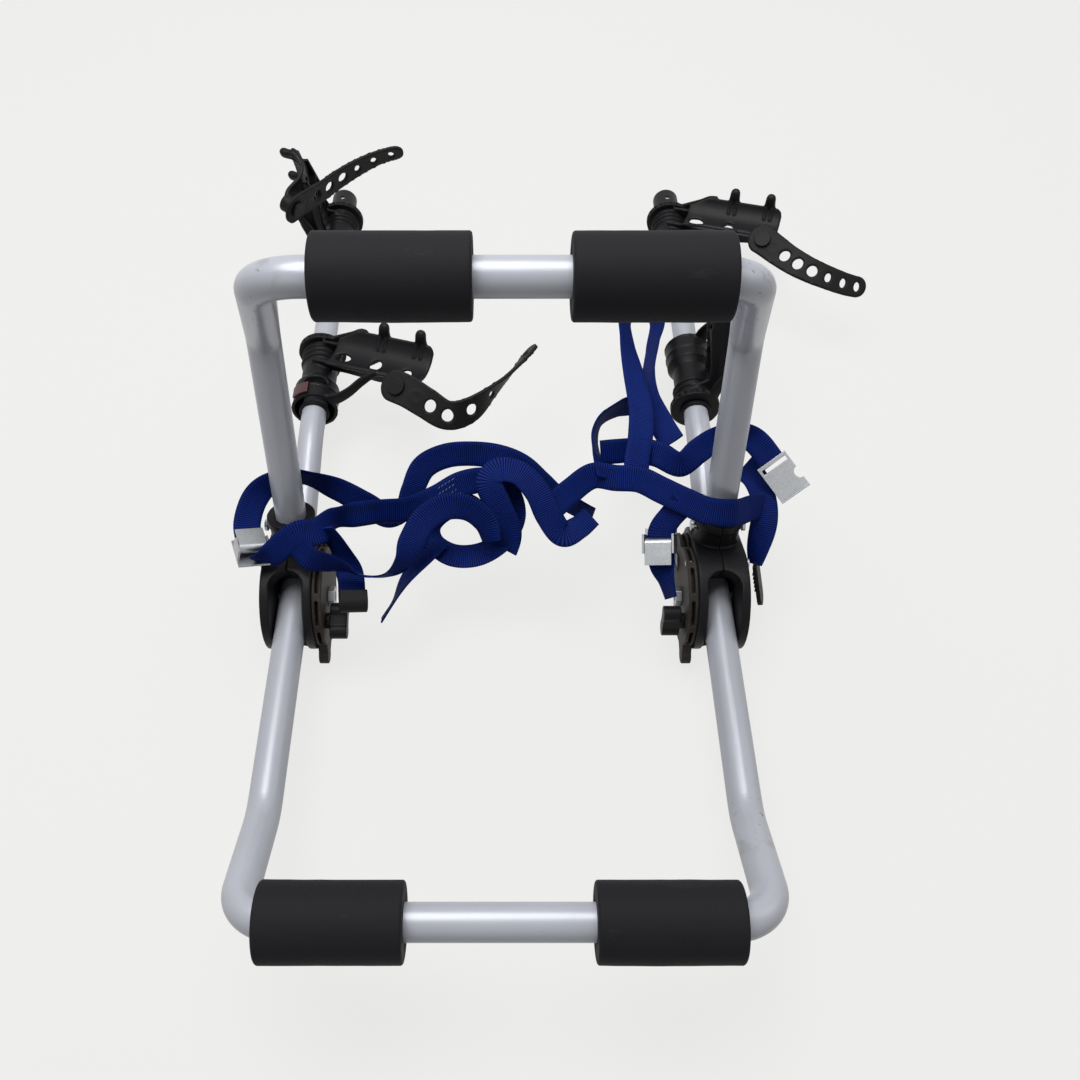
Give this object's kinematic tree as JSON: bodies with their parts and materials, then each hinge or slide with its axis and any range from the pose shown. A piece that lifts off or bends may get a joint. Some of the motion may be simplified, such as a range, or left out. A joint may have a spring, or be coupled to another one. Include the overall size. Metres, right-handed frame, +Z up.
{
  "type": "trunk mounted bike rack",
  "caption": "Trunk mounted bike rack: folding tube hoops with foam pads on moulded hubs, arms with strapped bicycle cradles, and tie-down webbing with cam buckles.",
  "frame": {"origin": "on the floor that the hubs' flat feet stand on, midway between the two hubs and straight under the lower hoop's pivots", "axes": "+X to the rack's right as seen from the car, +Y back along the arms, +Z up"},
  "size_m": [0.663, 0.9282, 0.462],
  "materials": {
    "silver_paint": "satin silver powder coat",
    "black_foam": "fine closed cell foam",
    "black_plastic": "satin moulded",
    "black_rubber": "smooth rubber",
    "dark_steel": "black oxide",
    "zinc": "bright zinc plate",
    "red_plastic": "satin moulded",
    "blue_webbing": "ribbed polypropylene webbing",
    "arm_cap_plastic": "satin moulded",
    "lock_plate_plastic": "matt glass filled"
  },
  "bodies": {
    "upper_frame": {"upper_hoop": "silver_paint", "top_pad_left": "black_foam", "top_pad_right": "black_foam", "hub_outer_shell_left": "black_plastic", "hub_outer_shell_right": "black_plastic", "hub_inner_shell_left": "black_plastic", "hub_inner_shell_right": "black_plastic", "lock_plate_left": "lock_plate_plastic", "lock_plate_right": "lock_plate_plastic", "pivot_bolts": "dark_steel", "pivot_nuts": "zinc", "leg_bolts": "zinc", "shell_screws": "zinc", "webbing_left_loop": "blue_webbing", "webbing_left_front": "blue_webbing", "webbing_left_sag": "blue_webbing", "webbing_left_hook": "blue_webbing", "webbing_tail": "blue_webbing", "webbing_knot": "blue_webbing", "webbing_link": "blue_webbing", "webbing_right_loop": "blue_webbing", "webbing_ring": "blue_webbing", "webbing_over": "blue_webbing", "webbing_drape": "blue_webbing", "webbing_right_inner": "blue_webbing", "buckle_frame_left": "zinc", "buckle_frame_right": "zinc", "plate_hook": "zinc", "coated_hook": "black_rubber", "strap_tongue": "black_rubber"},
    "lower_frame": {"lower_hoop": "silver_paint", "bottom_pad_left": "black_foam", "bottom_pad_right": "black_foam"},
    "arm_left": {"arm_tube_left": "silver_paint", "arm_cap_left": "arm_cap_plastic", "stop_rings_left": "black_plastic"},
    "arm_right": {"arm_tube_right": "silver_paint", "arm_cap_right": "arm_cap_plastic", "stop_rings_right": "black_plastic"},
    "cradle_left_near": {"cradle_left_near": "black_plastic", "lock_tab_left_near": "red_plastic", "rivet_left_near": "black_plastic"},
    "ladder_left_near": {"ladder_strap_left_near": "black_rubber"},
    "cradle_left_far": {"cradle_left_far": "black_plastic", "lock_tab_left_far": "red_plastic", "rivet_left_far": "black_plastic"},
    "ladder_left_far": {"ladder_strap_left_far": "black_rubber"},
    "cradle_right_near": {"cradle_right_near": "black_plastic", "lock_tab_right_near": "red_plastic", "rivet_right_near": "black_plastic"},
    "ladder_right_near": {"ladder_strap_right_near": "black_rubber"},
    "cradle_right_far": {"cradle_right_far": "black_plastic", "lock_tab_right_far": "red_plastic", "rivet_right_far": "black_plastic"},
    "ladder_right_far": {"ladder_strap_right_far": "black_rubber"},
    "knob_left": {"knob_left": "black_plastic"},
    "knob_right": {"knob_right": "black_plastic"},
    "lever_left": {"buckle_lever_left": "zinc"},
    "lever_right": {"buckle_lever_right": "zinc"}
  },
  "joints": [
    {"name": "lower_fold", "type": "hinge", "parent": "upper_frame", "child": "lower_frame", "pos_m": [0, 0, 0.048], "axis": [1, 0, 0], "range_deg": [-65, 35]},
    {"name": "arm_left_fold", "type": "hinge", "parent": "upper_frame", "child": "arm_left", "pos_m": [-0.2, 0.04, 0.045], "axis": [1, 0, 0], "range_deg": [-75, 18]},
    {"name": "arm_right_fold", "type": "hinge", "parent": "upper_frame", "child": "arm_right", "pos_m": [0.2, 0.04, 0.045], "axis": [1, 0, 0], "range_deg": [-75, 18]},
    {"name": "cradle_left_near_turn", "type": "hinge", "parent": "arm_left", "child": "cradle_left_near", "pos_m": [-0.2, 0.26287, 0.0518], "axis": [0, 0.9956, -0.0932], "range_deg": [-30, 30]},
    {"name": "ladder_left_near_swing", "type": "hinge", "parent": "cradle_left_near", "child": "ladder_left_near", "pos_m": [-0.10571, 0.21068, 0.09947], "axis": [-0.2528, -0.4617, 0.8502], "range_deg": [-15, 10]},
    {"name": "cradle_left_far_turn", "type": "hinge", "parent": "arm_left", "child": "cradle_left_far", "pos_m": [-0.2, 0.49386, 0.03018], "axis": [0, 0.9956, -0.0932], "range_deg": [-30, 30]},
    {"name": "ladder_left_far_swing", "type": "hinge", "parent": "cradle_left_far", "child": "ladder_left_far", "pos_m": [-0.23928, 0.44662, 0.13074], "axis": [0.8255, -0.5523, -0.1165], "range_deg": [-15, 15]},
    {"name": "cradle_right_near_turn", "type": "hinge", "parent": "arm_right", "child": "cradle_right_near", "pos_m": [0.2, 0.26287, 0.0518], "axis": [0, 0.9956, -0.0932], "range_deg": [-30, 30]},
    {"name": "ladder_right_near_swing", "type": "hinge", "parent": "cradle_right_near", "child": "ladder_right_near", "pos_m": [0.23592, 0.32807, 0.14316], "axis": [-0.8192, 0.5184, -0.2456], "range_deg": [-8, 8]},
    {"name": "cradle_right_far_turn", "type": "hinge", "parent": "arm_right", "child": "cradle_right_far", "pos_m": [0.2, 0.49386, 0.03018], "axis": [0, 0.9956, -0.0932], "range_deg": [-30, 30]},
    {"name": "ladder_right_far_swing", "type": "hinge", "parent": "cradle_right_far", "child": "ladder_right_far", "pos_m": [0.29429, 0.44167, 0.07784], "axis": [-0.2528, -0.4617, 0.8502], "range_deg": [-20, 10]},
    {"name": "knob_left_turn", "type": "hinge", "parent": "upper_frame", "child": "knob_left", "pos_m": [-0.2, -0.02783, 0.05112], "axis": [1, 0, 0], "continuous": true},
    {"name": "knob_right_turn", "type": "hinge", "parent": "upper_frame", "child": "knob_right", "pos_m": [0.2, -0.02783, 0.05112], "axis": [1, 0, 0], "continuous": true},
    {"name": "lever_left_open", "type": "hinge", "parent": "upper_frame", "child": "lever_left", "pos_m": [-0.22776, 0.01211, 0.11842], "axis": [0.9047, 0.2806, -0.3204], "range_deg": [0, 60], "stiffness_Nm_per_rad": 0.1},
    {"name": "lever_right_open", "type": "hinge", "parent": "upper_frame", "child": "lever_right", "pos_m": [0.14259, 0.0279, 0.09826], "axis": [-0.9288, 0.1756, -0.3262], "range_deg": [0, 60], "stiffness_Nm_per_rad": 0.1}
  ]
}
